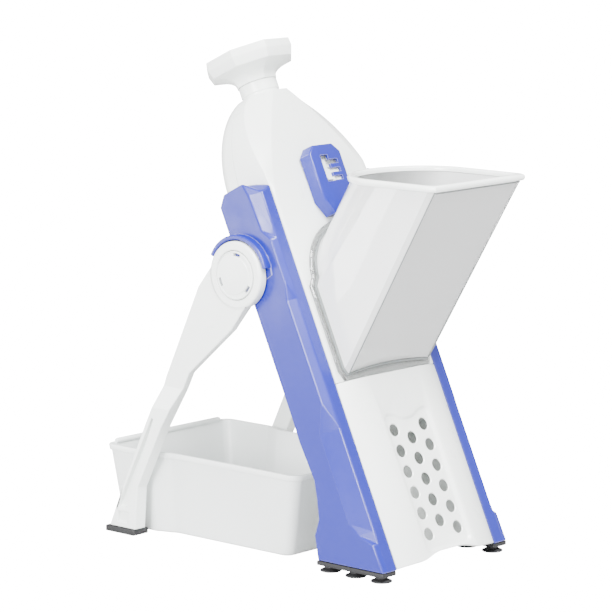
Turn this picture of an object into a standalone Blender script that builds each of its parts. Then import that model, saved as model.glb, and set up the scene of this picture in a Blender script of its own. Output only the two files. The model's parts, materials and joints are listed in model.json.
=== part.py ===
"""Upright press slicer: a leaning body with a plunger-driven blade carrier, a feed hopper,
two folding rear legs and a catch tray.  All sizes are in millimetres and are scaled to metres
when a mesh is made.  x runs to the right, y to the rear, z up.  "Body" coordinates are
(x, depth behind the front face, height along the leaning body)."""
from math import cos, pi, radians, sin

import bmesh
import bpy
from mathutils import Vector

MM = 0.001
GAP = 0.3                      # clearance between neighbouring pieces

# --- body ---------------------------------------------------------------------------------
LEAN = radians(24.8)           # the body leans back from the vertical
BASE_Z = 7.7                   # bottom edge of the body's front face above the table
FRAME_IN = 52.6                # inner side of each side frame
FRAME_FACE = 62.5              # where the flat front band ends
FRAME_OUT = 67.0               # outer side of each side frame
BODY_HALF = 52.2               # half width of the white housing
HOUSING_FRONT = -1.0
HOUSING_REAR = 46.8
HOUSING_LOW = 134.3
REAR_COVER_LOW = 152.0
WALL = 2.6
AXIS_DEPTH = 28.5              # plunger axis behind the front face
COLLAR_R = 18.7
COLLAR_TOP = 351.0
DOME_START = 285.0             # where the sides begin to curve in
FACE_START = 262.0             # where the front face begins to narrow
CAVITY_TOP = 331.0

DOME_REACH = 70.7              # height over which the dome's sides would close

# --- lower panel --------------------------------------------------------------------------
PANEL_LOW = 0.8
PANEL_FACE = -6.8              # front of the panel's flat middle
PANEL_FLAT_HALF = 36.0
PANEL_THICK = 2.8
PANEL_ARCH = 4.2               # rise of the arch between the panel's two feet
RECESS_HALF = 23.5
RECESS_LOW = 6.4
RECESS_TOP = 105.0
RECESS_DIP = 4.8               # how far the recess's top edge dips in the middle
RECESS_DEEP = 1.6
RECESS_CORNER = 5.0
HOLE_R = 4.5
HOLE_PITCH = 15.1
HOLE_COLUMNS = ((-15.5, 18.0, 6), (0.0, 25.5, 5), (15.5, 18.0, 6))   # x, lowest, count

# --- plunger ------------------------------------------------------------------------------
STEM_R = 14.0                  # upper, visible length of the stem
STEM_LOW_R = 7.5               # lower length, inside the housing
STEM_STEP = 284.0
STEM_BORE = 14.4
KNOB_WIDE = 62.0
KNOB_CORNER = 18.0
CARRIER_LOW = 118.0
CARRIER_TOP = 214.0
CARRIER_HALF = 44.0
CARRIER_FRONT = 5.0
CARRIER_REAR = 12.0
ROD_X = 34.0
ROD_R = 3.0
ROD_TOP = 301.0
BRACKET_LOW = 108.0
BRACKET_TOP = 116.0
LUG_LOW = 140.0

# --- selector -----------------------------------------------------------------------------
CONSOLE_FACE = -11.6
CONSOLE_WALL = 2.4
CONSOLE_PLATE = 1.8
GATE_LEFT = -6.0
GATE_SPINE = 1.5               # right side of the gate's upright slot
GATE_RIGHT = 7.4               # closed ends of its three teeth
GATE_LOW = 273.8
GATE_TOP = 292.5
GATE_TEETH = (275.5, 281.5, 287.8)
GATE_TOOTH_HALF = 1.2

# --- feed window, hopper, tray ------------------------------------------------------------
WINDOW_HALF = 36.0
WINDOW_LOW = 144.0
WINDOW_TOP = 206.0
RIM_Z = 272.0
RIM_HALF = 49.0
HOPPER_FRONT_Y = -27.5          # front of the rim's lip
HOPPER_REAR_Y = 72.0
TRAY_FRONT_Y = 88.0
TRAY_REAR_Y = 271.0
TRAY_RIM_Z = 60.5
TRAY_BASE_Z = 0.3
TRAY_GRIP_R = 2.1
TRAY_GRIP_HALF = 55.0

# --- legs ---------------------------------------------------------------------------------
HUB_Y = 130.0
HUB_Z = 199.5
LEG_IN = 68.0
LEG_OUT = 74.7
LEG_LOW_OUT = 78.5
LEG_LOW_IN = 67.9
HEAD_R = 23.8

CENTRE_Y = (HOPPER_FRONT_Y + TRAY_REAR_Y) / 2

COLOURS = {
    "white_plastic": ((0.86, 0.88, 0.87, 1.0), 0.35, 0.0),
    "blue_plastic": ((0.19, 0.24, 0.66, 1.0), 0.35, 0.0),
    "clear_plastic": ((0.72, 0.75, 0.76, 0.35), 0.08, 0.0),
    "tray_plastic": ((0.82, 0.84, 0.83, 1.0), 0.45, 0.0),
    "black_rubber": ((0.02, 0.02, 0.02, 1.0), 0.7, 0.0),
    "blade_steel": ((0.62, 0.63, 0.65, 1.0), 0.2, 1.0),
}


def clear_scene():
    for obj in list(bpy.data.objects):
        bpy.data.objects.remove(obj, do_unlink=True)


def material(name):
    found = bpy.data.materials.get(name)
    if found:
        return found
    colour, roughness, metallic = COLOURS[name]
    made = bpy.data.materials.new(name)
    made.use_nodes = True
    shader = made.node_tree.nodes["Principled BSDF"]
    shader.inputs["Base Color"].default_value = colour
    shader.inputs["Roughness"].default_value = roughness
    shader.inputs["Metallic"].default_value = metallic
    shader.inputs["Alpha"].default_value = colour[3]
    return made


def empty(name, location=(0, 0, 0), parent=None, turn_x=0.0):
    made = bpy.data.objects.new(name, None)
    bpy.context.collection.objects.link(made)
    made.location = Vector(location) * MM
    made.rotation_euler.x = turn_x
    made.parent = parent
    return made


def finish(name, bm, finish_name, parent, origin=(0, 0, 0), smooth=30.0):
    """Turn a bmesh in millimetres into a named object whose origin is at the given point."""
    bmesh.ops.remove_doubles(bm, verts=bm.verts, dist=0.001)
    bmesh.ops.recalc_face_normals(bm, faces=bm.faces)
    bmesh.ops.translate(bm, verts=bm.verts, vec=-Vector(origin))
    bmesh.ops.scale(bm, verts=bm.verts, vec=(MM, MM, MM))
    mesh = bpy.data.meshes.new(name)
    bm.to_mesh(mesh)
    bm.free()
    mesh.shade_smooth()
    mesh.set_sharp_from_angle(angle=radians(smooth))
    obj = bpy.data.objects.new(name, mesh)
    bpy.context.collection.objects.link(obj)
    obj.parent = parent
    obj.location = Vector(origin) * MM
    if finish_name:
        obj.data.materials.append(material(finish_name))
    return obj


def boolean(target, name, bm, operation, parent):
    """Union or cut a helper shape; the helper is hidden and is not a piece."""
    tool = finish(name, bm, None, parent)
    tool.hide_render = True
    tool.display_type = "WIRE"
    change = target.modifiers.new(name, "BOOLEAN")
    change.operation = operation
    change.object = tool
    return change


def skin(bm, rings, closed=False, caps=True):
    """Join rings of equal length with faces; close the ends, or join the last to the first."""
    made = [[bm.verts.new(point) for point in ring] for ring in rings]
    pairs = list(zip(made, made[1:]))
    if closed:
        pairs.append((made[-1], made[0]))
    for first, second in pairs:
        count = len(first)
        for i in range(count):
            j = (i + 1) % count
            bm.faces.new((first[i], first[j], second[j], second[i]))
    if caps and not closed:
        bm.faces.new(made[0])
        bm.faces.new(made[-1])
    return bm


def prism(outline, low, high, axis="y"):
    """Extrude a closed outline along x or y."""
    def place(point, level):
        a, b = point
        return (level, a, b) if axis == "x" else (a, level, b)
    rings = [[place(point, level) for point in outline] for level in (low, high)]
    return skin(bmesh.new(), rings)


def box(low, high):
    outline = [(low[0], low[2]), (high[0], low[2]), (high[0], high[2]), (low[0], high[2])]
    return prism(outline, low[1], high[1])


def arc(centre, radius, start, end, steps):
    """Points on an arc; the angles are in degrees."""
    points = []
    for i in range(steps + 1):
        angle = radians(start + (end - start) * i / steps)
        points.append((centre[0] + radius * cos(angle), centre[1] + radius * sin(angle)))
    return points


def bezier(p0, p1, p2, p3, steps):
    points = []
    for i in range(steps + 1):
        t = i / steps
        u = 1 - t
        weights = (u ** 3, 3 * u * u * t, 3 * u * t * t, t ** 3)
        points.append(tuple(sum(w * p[k] for w, p in zip(weights, (p0, p1, p2, p3)))
                            for k in (0, 1)))
    return points


def mirrored(right_side):
    """Complete a symmetric outline from its right half, listed from low to high."""
    return right_side + [(-x, s) for x, s in reversed(right_side)]


def inset(outline, distance):
    """Offset a counter-clockwise outline inwards."""
    count = len(outline)
    points = []
    for i in range(count):
        here = Vector(outline[i])
        before = (here - Vector(outline[i - 1])).normalized()
        after = (Vector(outline[(i + 1) % count]) - here).normalized()
        normal_a = Vector((-before.y, before.x))
        normal_b = Vector((-after.y, after.x))
        mean = (normal_a + normal_b).normalized()
        points.append(tuple(here + mean * distance / max(mean.dot(normal_a), 0.3)))
    return points


def turned(profile, axis_point, along, steps=32, closed=False):
    """Turn (radius, height) pairs about a line along x, y or z; closed makes a ring."""
    rings = []
    for radius, height in profile:
        ring = []
        for i in range(steps):
            angle = 2 * pi * i / steps
            a, b = radius * cos(angle), radius * sin(angle)
            offset = {"x": (height, a, b), "y": (a, height, b), "z": (a, b, height)}[along]
            ring.append(tuple(Vector(axis_point) + Vector(offset)))
        rings.append(ring)
    return skin(bmesh.new(), rings, closed=closed)


def tube(outer, inner, low, high, axis_point, along):
    profile = [(outer, low), (outer, high), (inner, high), (inner, low)]
    return turned(profile, axis_point, along, closed=True)


def lean(depth, s):
    """Body coordinates to the table's (y, z)."""
    return (s * sin(LEAN) + depth * cos(LEAN), BASE_Z + s * cos(LEAN) - depth * sin(LEAN))


# --- housing ------------------------------------------------------------------------------
def side_half(s):
    """Half width of the housing at a height: straight, then a quarter ellipse."""
    rise = max(0.0, s - DOME_START) / DOME_REACH
    return BODY_HALF * (1 - rise * rise) ** 0.5


def dome_ring(s, shrink=0.0):
    """Cross-section of the housing: flat front, bevelled edges, round rear corners."""
    face_rise = max(0.0, s - FACE_START)
    dome_rise = max(0.0, s - DOME_START)
    half = side_half(s)
    bevel = 1.5 + shrink / 2
    face_half = min(BODY_HALF - 0.0448 * face_rise ** 1.54, half - bevel)
    face_depth = HOUSING_FRONT + (AXIS_DEPTH - COLLAR_R - HOUSING_FRONT) * (face_rise / 89) ** 2
    edge_depth = max(0.34 * dome_rise, face_depth + bevel)
    corner = 10 + 8.6 * (dome_rise / 66) ** 2
    rear = arc((half - corner, HOUSING_REAR - corner), corner, 0, 90, 4)
    right = [(face_half, face_depth), (half, edge_depth)] + rear
    outline = mirrored(right)
    if shrink:
        outline = inset(outline, shrink)
    return [(x, y, s) for x, y in outline]


def housing_half(name, body, front):
    split = AXIS_DEPTH - GAP / 2 if front else AXIS_DEPTH + GAP / 2
    dome = (FACE_START, 276, 290, 303, 315, 326)
    levels = (HOUSING_LOW, *dome, 335, 342, 347, COLLAR_TOP)
    half = finish(name, skin(bmesh.new(), [dome_ring(s) for s in levels]), "white_plastic", body)
    levels = (HOUSING_LOW - 20, *dome, CAVITY_TOP)
    cavity = skin(bmesh.new(), [dome_ring(s, WALL) for s in levels])
    boolean(half, name + "_cavity", cavity, "DIFFERENCE", body)
    bore = turned([(STEM_BORE, STEM_STEP - 4), (STEM_BORE, 360)], (0, AXIS_DEPTH, 0), "z")
    boolean(half, name + "_bore", bore, "DIFFERENCE", body)
    if front:
        other = box((-80, split, 100), (80, 80, 380))
        window = box((-WINDOW_HALF, -20, WINDOW_LOW), (WINDOW_HALF, 3, WINDOW_TOP))
        boolean(half, name + "_window", window, "DIFFERENCE", body)
    else:
        other = box((-80, -80, 100), (80, split, 380))
        outlet = box((-80, -80, 100), (80, 80, REAR_COVER_LOW))
        boolean(half, name + "_outlet", outlet, "DIFFERENCE", body)
    boolean(half, name + "_split", other, "DIFFERENCE", body)


def front_panel(body):
    """Bulged lower panel with a foot arch and a recessed field of round holes."""
    flat, face, rear = PANEL_FLAT_HALF, PANEL_FACE, PANEL_FACE + PANEL_THICK
    seat = GAP + PANEL_THICK - 0.1
    section = [(-BODY_HALF, 0.0), (-flat, face), (flat, face), (BODY_HALF, 0.0),
               (BODY_HALF, seat), (flat, rear), (-flat, rear), (-BODY_HALF, seat)]
    rings = [[(x, y, s) for x, y in section] for s in (PANEL_LOW, HOUSING_LOW - GAP)]
    panel = finish("front_panel", skin(bmesh.new(), rings), "white_plastic", body)
    crown = PANEL_LOW + PANEL_ARCH
    foot = mirrored([(33, PANEL_LOW - 3)] + bezier((33, PANEL_LOW), (24, PANEL_LOW), (21, crown),
                                                   (6, crown), 6))
    boolean(panel, "panel_foot_arch", prism(foot, -20, 20), "DIFFERENCE", body)
    boolean(panel, "panel_recess", prism(recess_outline(), -20, face + RECESS_DEEP),
            "DIFFERENCE", body)
    holes = bmesh.new()
    for column, first, count in HOLE_COLUMNS:
        for row in range(count):
            hole = turned([(HOLE_R, -15), (HOLE_R, 5)], (column, 0, first + HOLE_PITCH * row),
                          "y", 14)
            mesh = bpy.data.meshes.new("hole")
            hole.to_mesh(mesh)
            hole.free()
            holes.from_mesh(mesh)
            bpy.data.meshes.remove(mesh)
    boolean(panel, "panel_holes", holes, "DIFFERENCE", body)


def recess_outline():
    """Round-cornered field whose top edge dips in the middle."""
    side, corner, low_s = RECESS_HALF, RECESS_CORNER, RECESS_TOP - RECESS_DIP
    right = arc((side - corner, RECESS_LOW + corner), corner, -90, 0, 4)
    right += arc((side - corner, RECESS_TOP - corner), corner, 0, 90, 4)
    right += bezier((side - corner, RECESS_TOP), (11, RECESS_TOP), (9, low_s), (1, low_s), 5)[1:]
    return mirrored(right)


def lower_liner(body):
    """Channel behind the holes, open at its sloping top, that closes off the side frames."""
    low, deep, thick = 12.0, 38.0, 2.2
    front = 3 + GAP
    outline = [(front, low), (deep, low), (deep, 93.0), (front, 105.5)]
    liner = finish("lower_liner", prism(outline, -BODY_HALF, BODY_HALF, "x"), "white_plastic",
                   body)
    hollow = box((thick - BODY_HALF, 0, low - 5), (BODY_HALF - thick, deep - thick, 120))
    boolean(liner, "liner_hollow", hollow, "DIFFERENCE", body)


def console_outline():
    return mirrored([(9, 250.5), (16, 262), (16, 295), (10, 301)])


def gate_console(body):
    """Raised plate with the E-shaped gate of the thickness selector."""
    face, back = CONSOLE_FACE, HOUSING_FRONT - GAP
    outline = console_outline()
    rings = [[(x, back, s) for x, s in outline], [(x, face + 1.5, s) for x, s in outline],
             [(x, face, s) for x, s in inset(outline, 1.5)]]
    console = finish("gate_console", skin(bmesh.new(), rings), "blue_plastic", body)
    hollow = prism(inset(outline, CONSOLE_WALL), face + CONSOLE_PLATE, 0)
    boolean(console, "console_hollow", hollow, "DIFFERENCE", body)
    gate = [(GATE_LEFT, GATE_LOW), (GATE_SPINE, GATE_LOW)]
    for tooth in GATE_TEETH:
        low, high = tooth - GATE_TOOTH_HALF, tooth + GATE_TOOTH_HALF
        gate += [(GATE_SPINE, low), (GATE_RIGHT, low), (GATE_RIGHT, high), (GATE_SPINE, high)]
    gate += [(GATE_SPINE, GATE_TOP), (GATE_LEFT, GATE_TOP)]
    boolean(console, "console_gate", prism(gate, -20, -5), "DIFFERENCE", body)


def selector(body):
    """Backing plate of the gate, the slide in front of it and the tab that drops into a tooth."""
    back = CONSOLE_FACE + CONSOLE_PLATE
    slide_back = back + 2.0
    insert = inset(console_outline(), CONSOLE_WALL + GAP)
    finish("gate_insert", prism(insert, slide_back + GAP, HOUSING_FRONT - GAP), "white_plastic",
           body)
    slide = box((-10.5, back + GAP, 266), (10.5, slide_back, 283))
    finish("selector_slide", slide, "white_plastic", body, (0, back + GAP, 275))
    low, high = GATE_TEETH[0] - 0.8, GATE_TEETH[0] + 0.8
    tab = box((GATE_LEFT + 0.6, CONSOLE_FACE - 0.4, low), (GATE_SPINE - 0.6, back, high))
    finish("selector_tab", tab, "white_plastic", body, (0, back, GATE_TEETH[0]))


# --- inside the housing -------------------------------------------------------------------
def guide_rods(body):
    """Rods that steer the blade carrier, each in a bracket beside the discharge path."""
    for side, sign in (("left", -1), ("right", 1)):
        x = sign * ROD_X
        near, far = sorted((sign * 28, sign * BODY_HALF))
        bracket = finish("rod_bracket_" + side, box((near, 21, BRACKET_LOW), (far, 36, BRACKET_TOP)),
                         "white_plastic", body)
        seat = turned([(ROD_R + 0.05, BRACKET_LOW + 2), (ROD_R + 0.05, BRACKET_TOP + 5)],
                      (x, AXIS_DEPTH, 0), "z", 16)
        boolean(bracket, "rod_seat_" + side, seat, "DIFFERENCE", body)
        rod = turned([(ROD_R, BRACKET_LOW + 2 + GAP), (ROD_R, ROD_TOP)], (x, AXIS_DEPTH, 0), "z", 16)
        finish("guide_rod_" + side, rod, "blade_steel", body)
        finish("return_spring_" + side, coil(x), "blade_steel", body)


def coil(x, low=BRACKET_TOP + 1.2, high=LUG_LOW - 1.2, turns=8, steps=10, wire=0.8, radius=5.2, sides=6):
    """A compressed coil spring round a guide rod."""
    rings = []
    for i in range(turns * steps + 1):
        angle = 2 * pi * i / steps
        s = low + (high - low) * i / (turns * steps)
        ring = []
        for k in range(sides):
            around = 2 * pi * k / sides
            r = radius + wire * cos(around)
            ring.append((x + r * cos(angle), AXIS_DEPTH + r * sin(angle), s + wire * sin(around)))
        rings.append(ring)
    return skin(bmesh.new(), rings)


def discharge_chute(body):
    """Bent plate that guides the slices from the blade back to the tray."""
    top, bend, end = (52.0, 105.0), (77, 79), (84, 72)
    thick = 2.2
    outline = [top, bend, end, (end[0], end[1] - thick), (bend[0] - 1.5, bend[1] - thick),
               (top[0] - 1.5, top[1] - thick)]
    finish("discharge_chute", prism(outline, -BODY_HALF, BODY_HALF, "x"), "white_plastic", body)


def plunger(body):
    origin = (0, AXIS_DEPTH, COLLAR_TOP)
    centre = (0, AXIS_DEPTH, 0)
    stem = [(STEM_LOW_R, 150), (STEM_LOW_R, STEM_STEP - 2), (STEM_R, STEM_STEP),
            (STEM_R, 361.5), (STEM_R - 2.5, 361.5), (STEM_R - 2.5, STEM_STEP + 3),
            (STEM_LOW_R - 2.5, STEM_STEP), (STEM_LOW_R - 2.5, 150)]
    finish("plunger_stem", turned(stem, centre, "z", closed=True), "white_plastic", body, origin)
    finish("plunger_knob", knob(), "white_plastic", body, origin)
    carrier(body, origin)


def knob():
    """Octagonal palm knob on a concave neck, with a shallow crown."""
    def octagon(scale, s):
        half, corner = KNOB_WIDE / 2 * scale, KNOB_CORNER * scale
        flat = half - corner
        points = [(half, -flat), (half, flat), (flat, half), (-flat, half),
                  (-half, flat), (-half, -flat), (-flat, -half), (flat, -half)]
        return [(x, AXIS_DEPTH + y, s) for x, y in points]
    levels = [(0.46, 361.8), (0.48, 365.0), (0.58, 368.2), (0.74, 370.6), (0.95, 372.2),
              (1.0, 379.0), (0.985, 384.4), (0.93, 386.0), (0.55, 387.4)]
    return skin(bmesh.new(), [octagon(scale, s) for scale, s in levels])


def carrier(body, origin):
    """Blade carrier: a plate with a slanting throat, lugs on the guide rods and a stem socket."""
    plate = finish("blade_carrier",
                   box((-CARRIER_HALF, CARRIER_FRONT, CARRIER_LOW),
                       (CARRIER_HALF, CARRIER_REAR, CARRIER_TOP)),
                   "white_plastic", body, origin)
    for side, x in (("left", -ROD_X), ("right", ROD_X)):
        lug = box((x - 6, 11, LUG_LOW), (x + 6, 36, 200))
        boolean(plate, "carrier_lug_" + side, lug, "UNION", body)
        bore = turned([(ROD_R + GAP, 100), (ROD_R + GAP, 220)], (x, AXIS_DEPTH, 0), "z", 16)
        boolean(plate, "carrier_bore_" + side, bore, "DIFFERENCE", body)
    socket = tube(STEM_LOW_R + 2.7, STEM_LOW_R + GAP, 150, 190, (0, AXIS_DEPTH, 0), "z")
    bridge = box((-8, 11, 150), (8, 20, 190))
    boolean(plate, "carrier_socket", socket, "UNION", body)
    boolean(plate, "carrier_bridge", bridge, "UNION", body)
    throat = [(-36, 122), (36, 131), (36, 142), (-36, 133)]
    boolean(plate, "carrier_throat", prism(throat, 0, 20), "DIFFERENCE", body)
    slit = [(-40.5, 132.2), (40.5, 142.3), (40.5, 146.2), (-40.5, 136.1)]
    boolean(plate, "blade_slit", prism(slit, 0, CARRIER_FRONT + 1.6), "DIFFERENCE", body)
    finish("slicing_blade", slicing_blade(), "blade_steel", body, origin)
    finish("julienne_comb", comb(), "blade_steel", body, origin)


def slicing_blade():
    """Flat slanting blade, seated in the carrier's slit and ground along its lower edge."""
    front, back = CARRIER_FRONT + 0.1, CARRIER_FRONT + 1.3
    points = [(-35.5, 128.6), (35.5, 137.5), (35.5, 141.6), (40, 142.6), (40, 145.8),
              (-40, 135.8), (-40, 132.6), (-35.5, 133.6)]
    face, rear = ([(x, depth, s) for x, s in points] for depth in (front, back))
    for i in (0, 1):
        x, s = points[i]
        rear[i] = (x, front + 0.15, s)
    return skin(bmesh.new(), [face, rear])


def comb():
    """Row of upright cutting teeth on a strip, behind the carrier's throat."""
    teeth, pitch, tooth_half, tall = 9, 7.6, 0.5, 10.0
    outline = [(-35, CARRIER_LOW + 0.5), (35, CARRIER_LOW + 0.5)]
    for i in reversed(range(teeth)):
        x = (i - (teeth - 1) / 2) * pitch
        root = CARRIER_LOW + 3.5 + (x + WINDOW_HALF) / 8
        outline += [(x + tooth_half, root), (x + tooth_half, root + tall),
                    (x - tooth_half, root + tall), (x - tooth_half, root)]
    return prism(outline, CARRIER_REAR + GAP, CARRIER_REAR + GAP + 1.0)


# --- side frames and feet -----------------------------------------------------------------
FRONT_EDGE = [(0, 0.0), (21, 0.5), (30, 10.0), (40, 15.4), (104, 15.5), (123, 4.6),
              (198, 5.0), (210, 1.2), (242, 1.4), (250, 7.0), (276, 8.5)]
REAR_EDGE = [(130.2, 260.9), (146.8, 252.4), (149.7, 244), (140.1, 224), (114.9, 173.2),
             (82.5, 104), (75.8, 88.5), (62.2, 63.6), (59.6, 50.6), (57.8, 36.3),
             (61.5, 24.5), (61.5, BASE_Z)]


def side_frame(side, sign, stand):
    """Faceted side frame: flat front band, a ridge that wanders back, and a foot."""
    inner = [lean(0, s) for s, _ in FRONT_EDGE] + REAR_EDGE
    inner[10] = lean(0, 280)
    face = list(inner)
    face[10] = lean(0, 276)
    outer = [lean(depth + 0.6, s) for s, depth in FRONT_EDGE]
    outer += inset(inner, 1.5)[len(FRONT_EDGE):]
    outer[-1] = (60.0, BASE_Z)
    outer[0] = (outer[0][0], BASE_Z)
    rings = [[(sign * FRAME_IN, y, z) for y, z in inner],
             [(sign * FRAME_FACE, y, z) for y, z in face],
             [(sign * FRAME_OUT, y, z) for y, z in outer]]
    frame = finish("side_frame_" + side, skin(bmesh.new(), rings), "blue_plastic", stand)
    hub = (HUB_Y, HUB_Z)
    boss = arc(hub, 28.0, 25, 175, 14) + arc(hub, 20.0, 190, 370, 10)
    guard = arc(hub, 28.0, 25, 165, 14) + arc(hub, 24.8, 165, 25, 14)
    low, high = sorted((sign * 56, sign * (FRAME_OUT + 0.4)))
    boolean(frame, "hub_boss_" + side, prism(boss, low, high, "x"), "UNION", stand)
    low, high = sorted((sign * 64, sign * 73.0))
    boolean(frame, "hub_guard_" + side, prism(guard, low, high, "x"), "UNION", stand)
    journal = turned([(15.4, sign * 60), (15.4, sign * 71.8)], (0, HUB_Y, HUB_Z), "x")
    boolean(frame, "hub_journal_" + side, journal, "UNION", stand)
    peg = turned([(4.3, sign * 61), (4.3, sign * 80)], (0, HUB_Y, HUB_Z), "x", 20)
    boolean(frame, "hub_peg_hole_" + side, peg, "DIFFERENCE", stand)


def frame_foot(side, sign, stand):
    """Rubber strip with three suction cups under a side frame."""
    low, high = sorted((sign * (FRAME_IN + 0.2), sign * (FRAME_OUT + 0.2)))
    strip = finish("foot_pad_" + side, box((low, 0.8, 4.2), (high, 61.0, BASE_Z - GAP)),
                   "black_rubber", stand)
    centre = sign * (FRAME_IN + FRAME_OUT) / 2
    for number, y in enumerate((8.0, 31.0, 54.0)):
        cup = turned([(7.0, 0.0), (7.4, 1.2), (4.2, 2.4), (4.2, 5.5)], (centre, y, 0), "z", 20)
        boolean(strip, "suction_cup_%s_%d" % (side, number), cup, "UNION", stand)


def leg(side, sign, pivot, stand):
    """Folding leg: round head on the hub, tapering blade, jog and slim foot."""
    stations = [((118.5, 181.0), (150.0, 207.0), LEG_IN, LEG_OUT),
                ((134.0, 160.5), (165.5, 188.0), LEG_IN, LEG_OUT),
                ((175.0, 125.0), (197.6, 120.0), LEG_IN, LEG_OUT),
                ((181.0, 113.0), (200.0, 113.5), LEG_IN, LEG_OUT),
                ((190.5, 97.5), (208.5, 97.0), LEG_LOW_IN, LEG_LOW_OUT),
                ((199.0, 84.0), (214.8, 84.5), LEG_LOW_IN, LEG_LOW_OUT),
                ((223.5, 36.0), (238.2, 36.0), LEG_LOW_IN, LEG_LOW_OUT),
                ((225.8, 4.9), (251.8, 4.9), LEG_LOW_IN, LEG_LOW_OUT)]
    rings = [[(sign * x_in, *front), (sign * x_out, *front), (sign * x_out, *rear),
              (sign * x_in, *rear)] for front, rear, x_in, x_out in stations]
    hub = (0, HUB_Y, HUB_Z)
    body = finish("leg_" + side, skin(bmesh.new(), rings), "white_plastic", pivot, hub)
    head = turned([(HEAD_R, sign * (LEG_IN - 0.1)), (HEAD_R, sign * (LEG_OUT - 0.8)),
                   (HEAD_R - 1.0, sign * (LEG_OUT + 0.2))], hub, "x", 40)
    boolean(body, "leg_head_" + side, head, "UNION", stand)
    bore = turned([(15.7, sign * 60), (15.7, sign * 80)], hub, "x")
    boolean(body, "leg_bore_" + side, bore, "DIFFERENCE", stand)
    counterbore = turned([(17.5, sign * 72.0), (17.5, sign * 80)], hub, "x")
    boolean(body, "leg_counterbore_" + side, counterbore, "DIFFERENCE", stand)
    channel = [(206.5, 89.0), (208.5, 89.5), (243.5, 20.0), (235.0, 20.0)]
    dent = [(233.0, 9.0), (243.5, 9.0), (243.0, 16.5), (233.0, 16.5)]
    for cut, outline, deep in (("channel", channel, 4.5), ("dent", dent, 2.0)):
        low, high = sorted((sign * (LEG_LOW_OUT - deep), sign * 90))
        boolean(body, "leg_%s_%s" % (cut, side), prism(outline, low, high, "x"),
                "DIFFERENCE", stand)
    low, high = sorted((sign * 63.5, sign * 79.0))
    pad = box((low, 227.0, 0.0), (high, 256.0, 4.6))
    finish("leg_foot_" + side, pad, "black_rubber", pivot, hub)


def hub_cap(side, sign, stand):
    """Snap-in cap that keeps the leg on its hub, with three curved slots."""
    hub = (0, HUB_Y, HUB_Z)
    profile = [(3.9, sign * 63), (3.9, sign * 72.3), (17.2, sign * 72.3), (17.2, sign * 74.6),
               (16.4, sign * 75.4), (13.0, sign * 75.4)]
    cap = finish("hub_cap_" + side, turned(profile, hub, "x", 40), "white_plastic", stand)
    low, high = sorted((sign * 70, sign * 80))
    for number, middle in enumerate((97, 217, 337)):
        slot = (arc((HUB_Y, HUB_Z), 15.6, middle - 11, middle + 11, 6)
                + arc((HUB_Y, HUB_Z), 13.4, middle + 11, middle - 11, 6))
        boolean(cap, "cap_slot_%s_%d" % (side, number), prism(slot, low, high, "x"),
                "DIFFERENCE", stand)


# --- hopper -------------------------------------------------------------------------------
def hopper(slide):
    """Clear hopper: an arched flange on the body, lofted forward and up to a level rim."""
    def base(shrink, depth):
        right = [(42.5, 138.0), (44.9, 143.0), (45.0, 175.0), (45.0, 203.0)]
        right += bezier((40, 209), (38, 229), (20, 243.5), (3, 244), 6)
        return [(x, *lean(depth, s)) for x, s in inset(mirrored(right), shrink)]

    def rim(shrink, z):
        """Level ring, point for point in step with the base ring."""
        half, front = RIM_HALF - shrink, HOPPER_FRONT_Y + 1.8 + shrink
        side_end = 30.0
        right = [(half - 3, front), (half - 0.6, front + 4), (half, front + 25),
                 (half, side_end - 8)]
        reach = HOPPER_REAR_Y - shrink - side_end
        right += [(half * cos(radians(14 * k)), side_end + reach * sin(radians(14 * k)))
                  for k in range(7)]
        return [(x, y, z) for x, y in mirrored(right)]

    wall = 2.0
    depth = HOUSING_FRONT - GAP
    rise = depth - 4.5
    rings = [base(-3.4, depth), base(-3.4, depth - 2.0), base(0, depth - 2.0), base(0, rise),
             rim(1.0, RIM_Z - 3.6), rim(1.0 + wall, RIM_Z - 3.6), base(wall, rise),
             base(wall, depth)]
    shell = skin(bmesh.new(), rings, closed=True)
    origin = (0, *lean(0, 200))
    finish("hopper_shell", shell, "clear_plastic", slide, origin)
    lip = [rim(-1.0, RIM_Z - 3.2), rim(-1.8, RIM_Z - 1.6), rim(-1.0, RIM_Z), rim(2.0, RIM_Z),
           rim(3.0, RIM_Z - 1.0), rim(3.0, RIM_Z - 3.2)]
    finish("hopper_rim", skin(bmesh.new(), lip, closed=True), "white_plastic", slide, origin)


# --- tray ---------------------------------------------------------------------------------
def tray_ring(shrink, z):
    """Level outline of the tray: narrow between the frames, wider behind the legs."""
    rise = (z - TRAY_BASE_Z) / (TRAY_RIM_Z - TRAY_BASE_Z)
    narrow = 54.0 + 4.2 * rise
    wide = 60.0 + 5.0 * rise
    front = 99.0 + (TRAY_FRONT_Y - 99.0) * rise
    rear = 262.0 + (TRAY_REAR_Y - 262.0) * rise
    corner = 9.0
    right = arc((narrow - corner, front + corner), corner, -90, 0, 5)
    right += [(narrow, 210.0), (narrow + 1.5, 212.0), (wide - 1.5, 221.0), (wide, 223.0)]
    right += arc((wide - corner, rear - corner), corner, 0, 90, 5)
    return [(x, y, z) for x, y in inset(mirrored(right), shrink)]


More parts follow.
